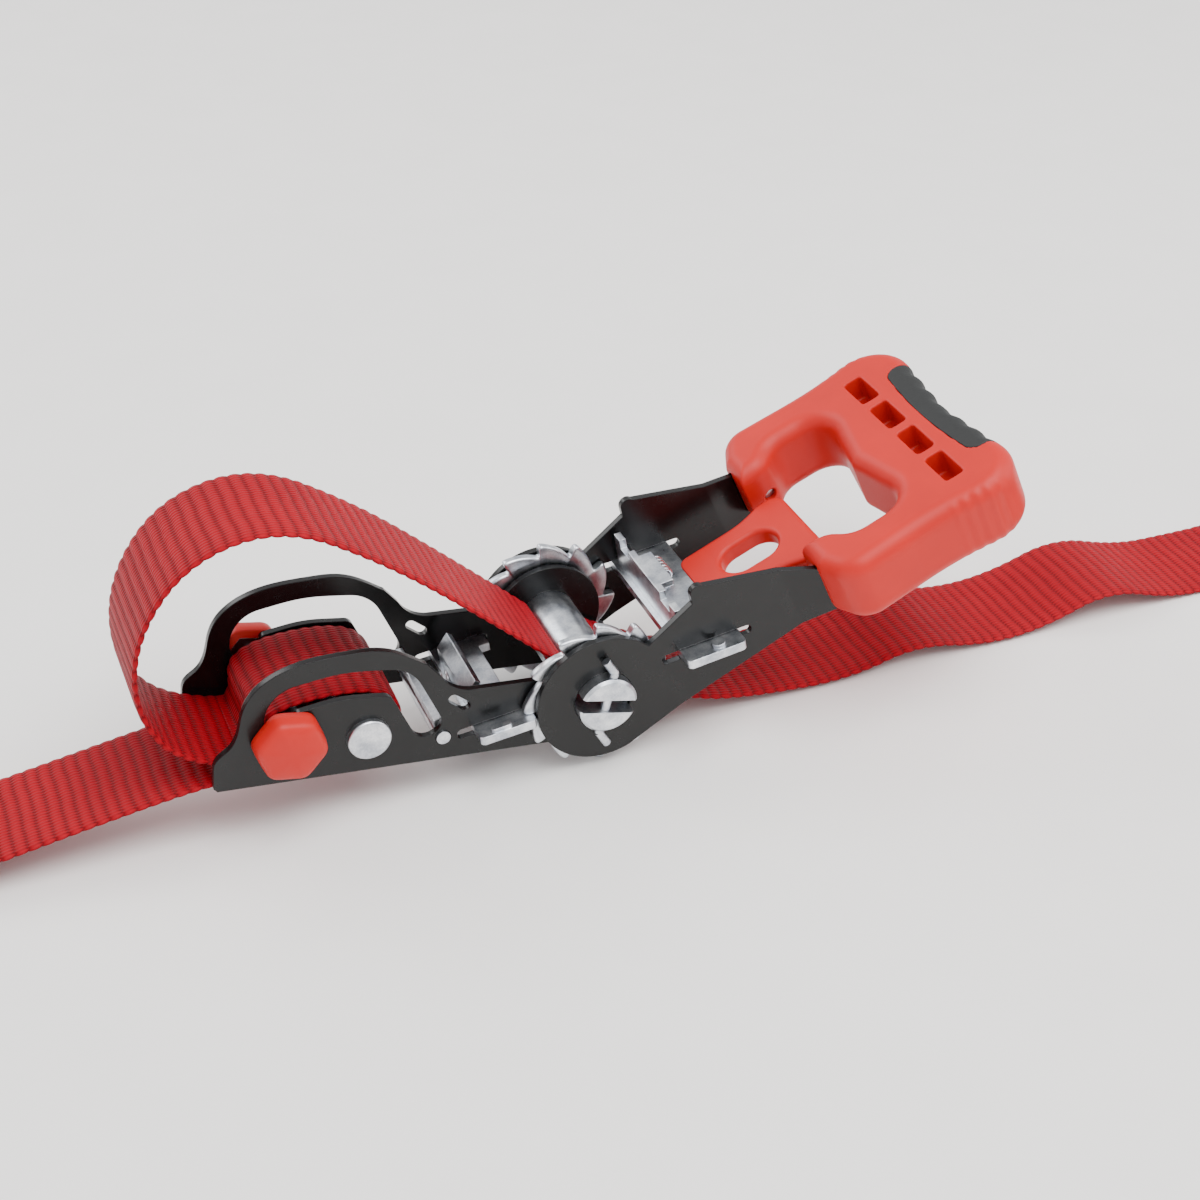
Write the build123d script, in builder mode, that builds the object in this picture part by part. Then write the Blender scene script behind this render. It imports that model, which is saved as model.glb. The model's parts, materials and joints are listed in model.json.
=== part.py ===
from build123d import *
import os
from math import asin, cos, degrees, radians, sin, tan

os.makedirs("parts", exist_ok=True)

# Ratchet tie down for 25 mm webbing, lying on a surface (Z = 0) with its handle part raised.
# X runs along the frame from the locking end to the handle, Y is across the webbing, Z is up.
# All side profiles are drawn about the spool's axis, in planes whose normal is -Y.

# ---- driving dimensions, mm and degrees ----
web_width = 25.4
web_thick = 1.4
tooth_count = 12
tip_radius = 17.2
root_radius = 13.9
spool_x = -6.84
spool_z = tip_radius

base_angle = -6.3
handle_angle = 23.6
slot_angle = -14.0

plate_thick = 1.5
base_inner = 13.75
base_outer = base_inner + plate_thick
wheel_inner = 15.6
wheel_outer = 17.6
handle_inner = 17.95

spool_radius = 6.4
spool_gap = 3.0
spool_half_length = 22.6
bore_radius = spool_radius + 0.1
hub_radius = 14.7
boss_radius = 12.35
base_bottom = -boss_radius
saddle = 3.9

pin_at = (-49.5, -4.2)
bolt_at = (-66.2, -2.2)
bolt_up = (-69.4, 6.4)
slot_width = 6.4
bolt_radius = 3.0

pawl_thick = 2.0
pawl_aim = 13.2
pawl_tip = 15.0
pawl_rear = 27.5
pawl_reach = 20.0
drive_angle = 8.9
drive_offset = 3.9
drive_tip = 18.1
drive_rear = 31.6
drive_reach = 24.1

grip_bottom = -12.0
grip_top = 4.4

trigger_low = -7.4
trigger_high = -2.8
rivet_radius = 1.25
rivet_spots = [(33.4, -5.0), (33.4, 5.0)]

wire_radius = 2.5
coat_radius = 3.2
eye_outer = 4.4
eye_width = 12.0
eye_middle = 1.45
gather = 14.0
left_doubled = 38.0
right_doubled = 12.4
outer_bend = [(58, 9.5), (58, -9.5)]
coat_from = -14 + 33 * 23.5 / 58
coil_end = 18.0


def side_plane(angle, y):
    """Plane square to Y through the spool's axis; its X is turned up from the ground by angle."""
    x_dir = (cos(radians(angle)), 0, sin(radians(angle)))
    return Plane(origin=(spool_x, y, spool_z), x_dir=x_dir, z_dir=(0, -1, 0))


def flat_plane(angle, height):
    """Plane that holds Y and a direction turned up by angle, a height above the spool's axis."""
    turn = radians(angle)
    up = Vector(-sin(turn), 0, cos(turn))
    return Plane(
        origin=Vector(spool_x, 0, spool_z) + up * height,
        x_dir=(cos(turn), 0, sin(turn)),
        z_dir=up,
    )


def save(part, name):
    part.label = name
    export_step(part, "parts/" + name + ".step")


# ---- base frame ----
def base_slot():
    """Arched slot that carries the lock bolt from one side of the fixed pin to the other."""
    with BuildLine(mode=Mode.PRIVATE) as arch:
        FilletPolyline(
            bolt_at, bolt_up, (-55.5, 9.2), (-43.2, 8.1), (-37.2, -3.0), radius=[4.4, 30, 5.5]
        )
    return arch.wire()


def base_plate(name, face_y):
    arch = base_slot()
    with BuildPart() as plate:
        with BuildSketch(side_plane(base_angle, face_y)):
            with BuildLine():
                Line((-80.2, base_bottom), (-81, base_bottom + 0.8))
                Line((-81, base_bottom + 0.8), (-81, -7.0))
                Spline(
                    (-81, -7.0), (-78.0, -2.6), (-75.8, 3.6), tangents=[(0, 1), (0.12, 1)]
                )
                Spline(
                    (-75.8, 3.6),
                    (-73.2, 10.2),
                    (-66.0, 14.8),
                    (-54.5, 16.4),
                    (-44.5, 15.2),
                    (-38.4, 11.8),
                    (-34.8, 8.2),
                    tangents=[(0.12, 1), (0.75, -0.8)],
                )
                ThreePointArc((-34.8, 8.2), (-32.0, 5.3), (-28.0, saddle))
                boss_turn = 180 - degrees(asin(saddle / boss_radius))
                boss = CenterArc((0, 0), boss_radius, boss_turn, -90 - boss_turn)
                Line((-28.0, saddle), boss @ 0)
                Line(boss @ 1, (-80.2, base_bottom))
            make_face()
            Circle(bore_radius, mode=Mode.SUBTRACT)
            SlotArc(arch, slot_width, mode=Mode.SUBTRACT)
            with Locations(pin_at):
                Circle(3.05, mode=Mode.SUBTRACT)
            with Locations(Location((0, 0, 0), pawl_aim)):
                with Locations((-22.7, 0)):
                    SlotOverall(17.0, pawl_thick + 0.4, mode=Mode.SUBTRACT)
            with Locations(Location((-30.4, 1.2, 0), -35)):
                SlotOverall(5.6, 2.2, mode=Mode.SUBTRACT)
            with Locations((-33.5, -6.8)):
                Circle(1.55, mode=Mode.SUBTRACT)
        extrude(amount=plate_thick)
    save(plate.part, name)


base_plate("base_plate_near", -base_inner)
base_plate("base_plate_far", base_outer)

# Fixed pin: a rivet with a low domed head at each end, and a loose spacer tube between the plates.
with BuildPart() as cross_pin:
    with BuildSketch(side_plane(base_angle, 0)):
        with Locations(pin_at):
            Circle(3.0)
    extrude(amount=base_outer + 0.4, both=True)
    for side in (-1, 1):
        with BuildSketch(side_plane(base_angle, side * (base_outer + 0.75))):
            with Locations(pin_at):
                Circle(4.6)
        extrude(amount=0.75, both=True)
    ends = cross_pin.faces().filter_by(Axis.Y).sort_by(Axis.Y)
    fillet((ends[0].edges() + ends[-1].edges()), 0.6)
save(cross_pin.part, "cross_pin")

with BuildPart() as pin_spacer:
    with BuildSketch(side_plane(base_angle, 0)):
        with Locations(pin_at):
            Circle(5.5)
            Circle(3.1, mode=Mode.SUBTRACT)
    extrude(amount=base_inner - 0.1, both=True)
save(pin_spacer.part, "pin_spacer")

# Cross strip that the holding pawl's spring pushes against, tenoned into both plates.
with BuildPart() as spring_stop:
    with BuildSketch(side_plane(base_angle, 0)):
        with Locations((-33.5, -6.8)):
            Circle(1.5)
    extrude(amount=base_outer + 0.6, both=True)
    with BuildSketch(side_plane(base_angle + pawl_aim, 0)):
        with Locations((-34.2, 1.0)):
            Rectangle(1.8, 7.0)
    extrude(amount=base_inner - 0.2, both=True)
save(spring_stop.part, "spring_stop")

# ---- lock bolt with its capped head and capped nut ----
head_thick = 4.0
head_flats = 10.0
cap_flats = 14.0
cap_depth = 5.4
hex_turn = -6.0


def hexagon(flats):
    with Locations(bolt_at):
        RegularPolygon(flats / 2, 6, major_radius=False, rotation=hex_turn)


def outside(side, depth):
    """Side plane halfway through a layer of that depth lying on a base plate's outer face."""
    return side_plane(base_angle, side * (base_outer + 0.15 + depth / 2))


with BuildPart() as lock_bolt:
    with BuildSketch(side_plane(base_angle, 0)):
        with Locations(bolt_at):
            Circle(bolt_radius)
    extrude(amount=base_outer + 0.15 + head_thick, both=True)
    with BuildSketch(outside(-1, head_thick)):
        hexagon(head_flats)
    extrude(amount=head_thick / 2, both=True)
save(lock_bolt.part, "lock_bolt")

with BuildPart() as lock_nut:
    with BuildSketch(outside(1, head_thick)):
        hexagon(head_flats)
        with Locations(bolt_at):
            Circle(bolt_radius + 0.05, mode=Mode.SUBTRACT)
    extrude(amount=head_thick / 2, both=True)
save(lock_nut.part, "lock_nut")

with BuildPart() as bolt_spacer:
    with BuildSketch(side_plane(base_angle, 0)):
        with Locations(bolt_at):
            Circle(4.4)
            Circle(bolt_radius + 0.1, mode=Mode.SUBTRACT)
    extrude(amount=base_inner - 0.1, both=True)
save(bolt_spacer.part, "bolt_spacer")


def bolt_cap(name, side):
    """Plastic cap pressed over a hexagon: a hollow hexagonal cup with soft corners."""
    with BuildPart() as cap:
        with BuildSketch(outside(side, cap_depth)):
            hexagon(cap_flats)
        extrude(amount=cap_depth / 2, both=True)
        fillet(cap.edges().filter_by(Axis.Y), 1.6)
        outer = cap.faces().filter_by(Axis.Y).sort_by(Axis.Y)[0 if side < 0 else -1]
        fillet(outer.edges(), 0.9)
        with BuildSketch(outside(side, head_thick)):
            hexagon(head_flats + 0.1)
        extrude(amount=head_thick / 2 + 0.05, both=True, mode=Mode.SUBTRACT)
    save(cap.part, name)


bolt_cap("bolt_cap_near", -1)
bolt_cap("bolt_cap_far", 1)

# ---- spool: two half-round mandrels with the webbing's slot between them ----
def half_round(side, grow):
    """Half of the spool's round section, cut back to its side of the webbing's slot."""
    edge = spool_gap / 2 - grow
    Circle(spool_radius + grow)
    with Locations((0, side * (edge - 10))):
        Rectangle(30, 20, mode=Mode.SUBTRACT)


cotter_axis = (-sin(radians(slot_angle)), 0, cos(radians(slot_angle)))


def spool_half(name, side):
    with BuildPart() as half:
        with BuildSketch(side_plane(slot_angle, 0)):
            half_round(side, 0)
        extrude(amount=spool_half_length, both=True)
        tips = half.faces().filter_by(Axis.Y)
        chamfer(tips.edges().filter_by(GeomType.CIRCLE), 0.6)
        for end in (-1, 1):
            with BuildSketch(Plane(origin=(spool_x, end * 20.9, spool_z), z_dir=cotter_axis)):
                Circle(1.1)
            extrude(amount=12, both=True, mode=Mode.SUBTRACT)
    save(half.part, name)


spool_half("spool_half_upper", 1)
spool_half("spool_half_lower", -1)

pawl_line = 180 + base_angle + pawl_aim
root_turn = pawl_line - degrees(asin((pawl_thick / 2 + 0.05) / root_radius))
tip_turn = pawl_line - degrees(asin((pawl_thick / 2 + 0.05) / tip_radius))
pitch = 360 / tooth_count


def polar(radius, angle):
    return (radius * cos(radians(angle)), radius * sin(radians(angle)))


def ratchet_wheel(name, face_y):
    """Saw-toothed wheel: each ramp rises evenly with angle, each face lies flat on the pawl."""
    sweep_turn = tip_turn + pitch - root_turn
    with BuildPart() as wheel:
        with BuildSketch(side_plane(0, face_y)):
            with BuildLine():
                for tooth in range(tooth_count):
                    turn = root_turn + tooth * pitch
                    ramp = [
                        polar(root_radius + (tip_radius - root_radius) * part, turn + sweep_turn * part)
                        for part in (0, 0.33, 0.67, 1)
                    ]
                    Spline(*ramp)
                    Line(ramp[-1], polar(root_radius, turn + pitch))
            make_face()
            for side in (-1, 1):
                with BuildSketch(mode=Mode.PRIVATE) as window:
                    half_round(side, 0.05)
                add(window.sketch, rotation=slot_angle, mode=Mode.SUBTRACT)
        extrude(amount=wheel_outer - wheel_inner)
    save(wheel.part, name)


ratchet_wheel("ratchet_wheel_near", -wheel_inner)
ratchet_wheel("ratchet_wheel_far", wheel_outer)


def split_pin(name, side):
    """Pin through both mandrels with its two ends bent over opposite ways."""
    level = Plane(
        origin=(spool_x, side * 20.9, spool_z), x_dir=(0, 1, 0), z_dir=cotter_axis
    )
    with BuildPart() as pin:
        with BuildSketch(level.offset(-7.4)):
            Circle(1.0)
        extrude(amount=14.8)
        for end in (-1, 1):
            start = level.origin + level.z_dir * end * 7.4
            aim = (level.z_dir * 0.72 - level.x_dir.cross(level.z_dir) * 0.69) * end
            with BuildSketch(Plane(origin=start - aim * 0.2, z_dir=aim)):
                Circle(0.95)
            extrude(amount=4.0)
    save(pin.part, name)


split_pin("split_pin_near", -1)
split_pin("split_pin_far", 1)

# ---- holding pawl in the base frame ----
hold_angle = base_angle + pawl_aim
with BuildPart() as holding_pawl:
    with BuildSketch(flat_plane(hold_angle, -pawl_thick / 2)):
        with Locations((-(pawl_tip + pawl_rear) / 2, 0)):
            RectangleRounded(pawl_rear - pawl_tip, 2 * pawl_reach, 1.2)
        with Locations((-pawl_tip, 0)):
            Rectangle(5.0, 20.0, mode=Mode.SUBTRACT)
    extrude(amount=pawl_thick)
    with BuildSketch(side_plane(hold_angle, 0)):
        with BuildLine():
            Polyline((-26.6, 0.5), (-26.6, 4.6), (-24.0, 7.6), (-22.9, 6.7), (-25.0, 4.1))
            Polyline((-25.0, 4.1), (-25.0, 0.5), (-26.6, 0.5))
        make_face()
    extrude(amount=9.5, both=True)
    for side in (-1, 1):
        with BuildSketch(flat_plane(hold_angle, pawl_thick / 2 - 0.1)):
            with Locations((-22.5, side * 18.8)):
                SlotOverall(4.4, 1.6)
        extrude(amount=0.9)
save(holding_pawl.part, "holding_pawl")


def coil_spring(name, angle, height, start, end, y, radius, wire, turns):
    """Compression coil lying along the pawl's travel."""
    turn = radians(angle)
    along = Vector(cos(turn), 0, sin(turn))
    up = Vector(-sin(turn), 0, cos(turn))
    origin = Vector(spool_x, y, spool_z) + along * start + up * height
    with BuildPart() as spring:
        with BuildLine() as path:
            Helix((end - start) / turns, end - start, radius, center=origin, direction=along)
        with BuildSketch(Plane(origin=path.line @ 0, z_dir=path.line % 0)):
            Circle(wire)
        sweep(path=path.line, is_frenet=True)
    save(spring.part, name)


coil_spring("holding_pawl_spring", hold_angle, 3.0, -32.2, -27.3, 0, 1.7, 0.35, 4)

# ---- handle ----
tongue_end = 61.5
flare_from = 45.0
flare_to = 53.0
flare = 2.4


def handle_section(side, grow):
    """Bent sheet seen from above: straight beside the wheels, then stepped out into the grip."""
    inner = handle_inner - grow
    thick = plate_thick + 2 * grow
    spine = [(-18, inner), (flare_from, inner), (flare_to, inner + flare), (tongue_end + grow, inner + flare)]
    back = [(x, y + thick) for x, y in reversed(spine)]
    Polyline(*[(x, side * y) for x, y in spine + back], close=True)


def handle_plate(name, side):
    with BuildPart() as plate:
        with BuildSketch(flat_plane(handle_angle, 0)):
            with BuildLine():
                handle_section(side, 0)
            make_face()
        extrude(amount=20, both=True)
        with BuildSketch(side_plane(handle_angle, 0)):
            with BuildLine():
                hub = CenterArc((0, 0), hub_radius, 23.3, 246.7)
                Line(hub @ 1, (14.0, -12.9))
                Line((14.0, -12.9), (52.7, -11.2))
                Line((52.7, -11.2), (53.5, -9.4))
                Line((53.5, -9.4), (tongue_end, -9.4))
                Line((tongue_end, -9.4), (tongue_end, -1.6))
                Line((tongue_end, -1.6), (53.5, -1.6))
                Line((53.5, -1.6), (52.7, 0.9))
                Line((52.7, 0.9), (29.2, 12.0))
                ThreePointArc((29.2, 12.0), (27.2, 12.7), (26.0, 11.4))
                Line((26.0, 11.4), (25.6, 9.3))
                Line((25.6, 9.3), hub @ 0)
            make_face()
        extrude(amount=30, both=True, mode=Mode.INTERSECT)
        with BuildSketch(side_plane(handle_angle, 0)):
            Circle(bore_radius)
        extrude(amount=30, both=True, mode=Mode.SUBTRACT)
        with BuildSketch(side_plane(drive_angle, 0)):
            with Locations((24.3, drive_offset)):
                SlotOverall(20.8, pawl_thick + 0.4)
        extrude(amount=30, both=True, mode=Mode.SUBTRACT)
        with BuildSketch(side_plane(handle_angle, 0)):
            with Locations((57.4, -5.5)):
                Circle(1.6)
        extrude(amount=30, both=True, mode=Mode.SUBTRACT)
    save(plate.part, name)


handle_plate("handle_plate_near", -1)
handle_plate("handle_plate_far", 1)


def grip_half(side):
    """Half of the grip from above: outer arm, corner and end dip, then cross bar and arm inside."""
    outer = [(52.0, 23.0), (55.6, 31.2), (79.0, 30.0), (101.0, 33.6), (97.6, 0)]
    inner = [(52.0, 14.6), (58.5, 14.8), (63.0, 19.6), (77.2, 19.4), (73.2, 0)]
    FilletPolyline(*[(x, side * y) for x, y in outer], radius=[6.5, 70.0, 10.4])
    FilletPolyline(*[(x, side * y) for x, y in inner], radius=[6.5, 6.0, 6.0])
    Line((52.0, side * 14.6), (52.0, side * 23.0))


pad_half = 19.0
pad_from = 91.8
with BuildPart() as whole_grip:
    with BuildSketch(flat_plane(handle_angle, grip_bottom)):
        with BuildLine():
            for side in (-1, 1):
                grip_half(side)
        make_face()
    extrude(amount=grip_top - grip_bottom)
    rims = whole_grip.faces().filter_by(flat_plane(handle_angle, 0)).edges()
    fillet(rims, 3.6)
    with BuildSketch(flat_plane(handle_angle, grip_top)):
        for pocket_y in (-18.2, -6.1, 6.1, 18.2):
            with Locations((86.6, pocket_y)):
                RectangleRounded(4.4, 9.6, 0.8)
    extrude(amount=-6.0, mode=Mode.SUBTRACT)


def pad_outline():
    """Outline of the space the rubber pad takes out of the grip's outer end."""
    Line((104.0, -pad_half), (96.0, -pad_half))
    ThreePointArc((96.0, -pad_half), (93.6, -18.0), (92.8, -15.6))
    ThreePointArc((92.8, -15.6), (pad_from, 0), (92.8, 15.6))
    ThreePointArc((92.8, 15.6), (93.6, 18.0), (96.0, pad_half))
    Line((96.0, pad_half), (104.0, pad_half))
    Line((104.0, pad_half), (104.0, -pad_half))


with BuildPart() as grip:
    add(whole_grip.part)
    with BuildSketch(flat_plane(handle_angle, 0)):
        with BuildLine():
            pad_outline()
        make_face()
    extrude(amount=30, both=True, mode=Mode.SUBTRACT)
    with BuildSketch(flat_plane(handle_angle, -5.0)):
        for side in (-1, 1):
            with BuildLine():
                handle_section(side, 0.05)
            make_face()
    extrude(amount=6.5, both=True, mode=Mode.SUBTRACT)
    with BuildSketch(side_plane(handle_angle, 0)):
        with Locations((57.4, -5.5)):
            Circle(1.55)
    extrude(amount=25, both=True, mode=Mode.SUBTRACT)
save(grip.part, "grip")

with BuildPart() as grip_pad:
    add(whole_grip.part)
    with BuildSketch(flat_plane(handle_angle, 0)):
        with BuildLine():
            pad_outline()
        make_face()
    extrude(amount=30, both=True, mode=Mode.INTERSECT)
save(grip_pad.part, "grip_pad")


def grip_pin(name, side):
    """Steel pin inside one arm that locks the grip to the plate's tongue."""
    with BuildPart() as pin:
        with BuildSketch(side_plane(handle_angle, side * 20.9)):
            with Locations((57.4, -5.5)):
                Circle(1.5)
        extrude(amount=3.9, both=True)
    save(pin.part, name)


grip_pin("grip_pin_near", -1)
grip_pin("grip_pin_far", 1)

# ---- drive pawl and its trigger ----
with BuildPart() as drive_pawl:
    with BuildSketch(flat_plane(drive_angle, drive_offset - pawl_thick / 2)):
        with Locations(((drive_tip + drive_rear) / 2, 0)):
            RectangleRounded(drive_rear - drive_tip, 2 * drive_reach, 1.2)
        with Locations((drive_rear + 1.0, 0)):
            Rectangle(8.0, 14.0)
    extrude(amount=pawl_thick)
    with BuildSketch(side_plane(drive_angle, 0)):
        with Locations((20.0, drive_offset + 4.9)):
            Rectangle(1.5, 8.2)
    extrude(amount=16.6, both=True)
    with BuildSketch(flat_plane(drive_angle, drive_offset + 9.0)):
        with Locations((21.4, 0)):
            Rectangle(4.4, 12.0)
    extrude(amount=-1.5)
    for notch_y in (-11.0, 11.0):
        with BuildSketch(side_plane(drive_angle, notch_y)):
            with Locations((20.0, drive_offset + 8.6)):
                Rectangle(3.0, 3.4)
        extrude(amount=2.4, both=True, mode=Mode.SUBTRACT)
    for side in (-1, 1):
        with BuildSketch(flat_plane(drive_angle, drive_offset + pawl_thick / 2 - 0.1)):
            with Locations((26.0, side * 21.8)):
                Circle(1.5)
        extrude(amount=0.9)
    with BuildSketch(flat_plane(handle_angle, trigger_low)):
        with Locations(*rivet_spots):
            Circle(rivet_radius + 0.05)
    extrude(amount=8, both=True, mode=Mode.SUBTRACT)
save(drive_pawl.part, "drive_pawl")

# Trigger: moulded finger tab on the pawl's tongue, thinner at the pawl and wider at its free end.
with BuildPart() as trigger:
    with BuildSketch(flat_plane(handle_angle, trigger_low)):
        with BuildLine():
            FilletPolyline(
                (30.0, 0), (30.0, 9.7), (47.0, 9.9), (52.5, 12.0), (58.4, 12.0), (58.4, 0),
                radius=[3.0, 18.0, 10.0, 3.4],
            )
            FilletPolyline(
                (30.0, 0), (30.0, -9.7), (47.0, -9.9), (52.5, -12.0), (58.4, -12.0), (58.4, 0),
                radius=[3.0, 18.0, 10.0, 3.4],
            )
        make_face()
        with Locations((44.6, 0)):
            SlotOverall(13.6, 9.0, mode=Mode.SUBTRACT)
    extrude(amount=trigger_high - trigger_low)
    rims = trigger.faces().filter_by(flat_plane(handle_angle, 0)).edges()
    fillet(rims, 1.2)
    with BuildSketch(flat_plane(drive_angle, drive_offset - pawl_thick / 2 - 0.05)):
        with Locations((drive_rear + 1.05, 0)):
            Rectangle(8.2, 14.1)
        with Locations(((drive_tip + drive_rear) / 2, 0)):
            Rectangle(drive_rear - drive_tip + 0.2, 2 * drive_reach)
    extrude(amount=pawl_thick + 0.1, mode=Mode.SUBTRACT)
    with BuildSketch(flat_plane(handle_angle, trigger_low)):
        with Locations(*rivet_spots):
            Circle(rivet_radius + 0.05)
    extrude(amount=trigger_high - trigger_low - 0.9, mode=Mode.SUBTRACT)
save(trigger.part, "trigger")


def trigger_rivet(name, spot):
    """Rivet pressed from below through the tongue into the trigger, with a flat head."""
    with BuildPart() as rivet:
        with BuildSketch(flat_plane(handle_angle, trigger_low - 0.6)):
            with Locations(spot):
                Circle(rivet_radius)
        extrude(amount=trigger_high - trigger_low - 0.4)
        with BuildSketch(flat_plane(handle_angle, trigger_low - 0.65)):
            with Locations(spot):
                Circle(2.1)
        extrude(amount=0.6)
    save(rivet.part, name)


trigger_rivet("trigger_rivet_near", rivet_spots[0])
trigger_rivet("trigger_rivet_far", rivet_spots[1])

# Torsion spring behind the pawl's bracket: a coil along Y, one leg on the bracket, one in the plate.
coil_low = 3.0
coil_high = 9.0
coil_radius = 1.9
spring_wire = 0.4
turn = radians(drive_angle)
along = Vector(cos(turn), 0, sin(turn))
up = Vector(-sin(turn), 0, cos(turn))
coil_centre = Vector(spool_x, 0, spool_z) + along * 24.6 + up * (drive_offset + 3.6)
with BuildPart() as drive_pawl_spring:
    with BuildLine() as coil:
        rise = coil_high - coil_low
        Helix(rise / 5, rise, coil_radius, center=coil_centre + Vector(0, coil_low, 0), direction=(0, 1, 0))
    with BuildSketch(Plane(origin=coil.line @ 0, z_dir=coil.line % 0)):
        Circle(spring_wire)
    sweep(path=coil.line, is_frenet=True)
    leg_aim = -(coil.line % 0)
    with BuildSketch(Plane(origin=(coil.line @ 0) - leg_aim * 0.2, z_dir=leg_aim)):
        Circle(spring_wire)
    extrude(amount=4.1)
    with BuildSketch(Plane(origin=(coil.line @ 1) - Vector(0, 0.3, 0), z_dir=(0, 1, 0))):
        Circle(spring_wire)
    extrude(amount=handle_inner - coil_high + 0.1)
save(drive_pawl_spring.part, "drive_pawl_spring")


# ---- webbing, drawn as centre lines in the side plane ----
def bend_radii(points):
    """Largest easy bend at each corner: it uses 0.45 of the shorter run beside it."""
    radii = []
    for before, at, after in zip(points, points[1:], points[2:]):
        run_in = Vector(at[0] - before[0], at[1] - before[1], 0)
        run_out = Vector(after[0] - at[0], after[1] - at[1], 0)
        half_turn = radians(run_in.get_angle(run_out)) / 2
        radii.append(0.45 * min(run_in.length, run_out.length) / tan(half_turn))
    return radii


def ribbon(name, points, radii):
    """Webbing swept along straight runs joined by tangent arcs."""
    with BuildPart() as band:
        with BuildLine(side_plane(0, 0)) as route:
            FilletPolyline(*points, radius=radii)
        wire = route.wires()[0]
        with BuildSketch(Plane(origin=wire @ 0, x_dir=(0, 1, 0), z_dir=wire % 0)):
            Rectangle(web_width, web_thick)
        sweep(path=wire, transition=Transition.RIGHT)
    expected = wire.length * web_width * web_thick
    share = band.part.volume / expected
    print(name, "length", round(wire.length, 1), "volume over expected", round(share, 4))
    print("  bend radii", [round(radius, 1) for radius in radii])
    save(band.part, name)


left_route = [
    (-73, -3.4), (-84, -3.6), (-104, -6.6), (-124, -9.8), (-145, -13.4),
    (-166, -16.2), (-192, -16.45), (-222, -16.4),
]
wrap_route = [
    (-73, -3.4), (-64, -3.24), (-52, -5.3), (-42.2, -5.7), (-42.0, 11.2),
    (-71.3, 11.9), (-71.3, -1.65), (-75, -0.6),
]
loop_route = [
    (-75, -0.6), (-87, 2.8), (-94.3, 17.3), (-92, 34.3), (-80.5, 48.8),
    (-62, 52.3), (-43, 39.8), (-24, 22.8), (-6.2, 5.7),
]
right_route = [
    (7.7, -1.9), (15, -6.4), (27, -12.6), (43, -15.2), (63, -16.3), (80, -11.8), (98, -16.4),
    (114, -15.6), (131, -9.6), (150, -16.2), (166, -16.5), (178, -16.5),
]
ribbon("strap_left", left_route, bend_radii(left_route))
ribbon("strap_wrap", wrap_route, [40.0, 40.0, 6.6, 4.5, 5.0, 1.3])
ribbon("strap_loop", loop_route, bend_radii(loop_route))
ribbon("strap_right", right_route, bend_radii(right_route))

with BuildPart() as strap_in_spool:
    with BuildSketch(side_plane(slot_angle, 0)):
        Rectangle(14.4, web_thick)
    extrude(amount=web_width / 2, both=True)
save(strap_in_spool.part, "strap_in_spool")

# Right run rolls onto its edge, goes straight a little and joins the coil standing on edge.
twist_from = 178.0
twist_to = 228.0
edge_to = 236.2
coil_x = 250.0
coil_y = -66.0
with BuildPart() as strap_twist:
    for step in range(7):
        roll = radians(90 * step / 6)
        lift = web_width / 2 * sin(roll) + web_thick / 2 * cos(roll)
        section = Plane(
            origin=(spool_x + twist_from + (twist_to - twist_from) * step / 6, 0, lift),
            x_dir=(0, cos(roll), sin(roll)),
            z_dir=(1, 0, 0),
        )
        with BuildSketch(section):
            Rectangle(web_width, web_thick)
    loft()
    with BuildSketch(Plane.YZ.offset(spool_x + twist_to)):
        with Locations((0, web_width / 2)):
            Rectangle(web_thick, web_width)
    extrude(amount=edge_to - twist_to)
save(strap_twist.part, "strap_twist")

coil_outer = -coil_y + web_thick / 2
coil_inner = 36.0
with BuildPart() as strap_coil:
    with BuildSketch(Plane.XY):
        with Locations((spool_x + coil_x, coil_y)):
            Circle(coil_outer)
            Circle(coil_inner, mode=Mode.SUBTRACT)
    extrude(amount=web_width)
save(strap_coil.part, "strap_coil")


# ---- ends of the webbing: doubled and stitched, drawn together into an eye, with an S hook ----
def sewn_end(name, start, length, shift):
    """Doubled webbing drawn together into an eye; start is a plane whose X is the webbing's width."""
    narrow = start.offset(length + gather)
    with BuildPart() as end:
        with BuildSketch(start):
            Rectangle(web_width, 2 * web_thick)
        extrude(amount=length)
        with BuildSketch(start.offset(length)):
            Rectangle(web_width, 2 * web_thick)
        with BuildSketch(narrow):
            with Locations((shift, 0)):
                Rectangle(eye_width, 5.0)
        loft()
        barrel = Plane(
            origin=narrow.origin + narrow.z_dir * 3.6 + narrow.x_dir * shift,
            x_dir=narrow.z_dir,
            z_dir=narrow.x_dir,
        )
        with BuildSketch(barrel):
            Circle(eye_outer)
        extrude(amount=eye_width / 2, both=True)
        with BuildSketch(barrel):
            Circle(wire_radius + 0.1)
        extrude(amount=eye_width, both=True, mode=Mode.SUBTRACT)
    save(end.part, name)
    return barrel.origin


def hook_route(points, radii):
    """Part of the S hook's centre line; the straight of its closed eye lies on the Y axis."""
    FilletPolyline(*[(x, y - eye_middle) for x, y in points], radius=radii)


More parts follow.
